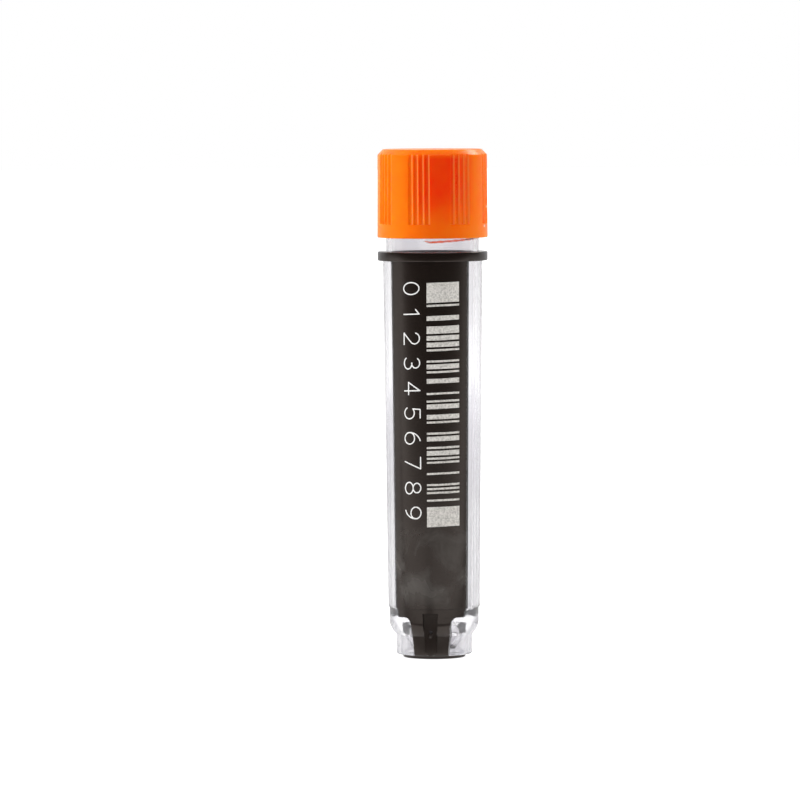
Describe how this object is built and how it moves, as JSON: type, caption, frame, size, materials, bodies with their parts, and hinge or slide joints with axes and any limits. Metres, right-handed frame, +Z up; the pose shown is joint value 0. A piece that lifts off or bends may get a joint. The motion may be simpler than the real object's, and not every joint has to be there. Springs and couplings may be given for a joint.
{
  "type": "cryovial",
  "caption": "Standing laboratory cryovial: a clear tapered tube with a black moulded panel, flange and foot, closed by an orange screw cap with a grooved grip.",
  "frame": {"origin": "centre of the flat disc that the tube stands on", "axes": "+Z up along the tube's axis, towards the cap; -Y is the front, which the black panel faces; +X is to the right seen from the front"},
  "size_m": [0.0168, 0.0168, 0.0772],
  "materials": {
    "clear_plastic": "clear moulded polypropylene, polished",
    "black_plastic": "black moulded polypropylene, semi-gloss, with light laser-marked print on the panel",
    "orange_plastic": "translucent orange moulded polypropylene, semi-gloss",
    "pale_silicone": "soft matte silicone"
  },
  "bodies": {
    "vessel": {"tube": "clear_plastic", "jacket": "black_plastic"},
    "seal": {"seal_ring": "pale_silicone"},
    "cap": {"cap": "orange_plastic"}
  },
  "joints": [
    {"name": "cap_lift", "type": "slide", "parent": "vessel", "child": "seal", "axis": [0, 0, 1], "range_m": [0, 0.0112]},
    {"name": "cap_turn", "type": "hinge", "parent": "seal", "child": "cap", "pos_m": [0, 0, 0.07], "axis": [0, 0, 1], "range_deg": [0, 1440]}
  ],
  "couplings": [
    {"joint": "cap_turn", "follows": "cap_lift", "rad_per_m": 2244}
  ]
}
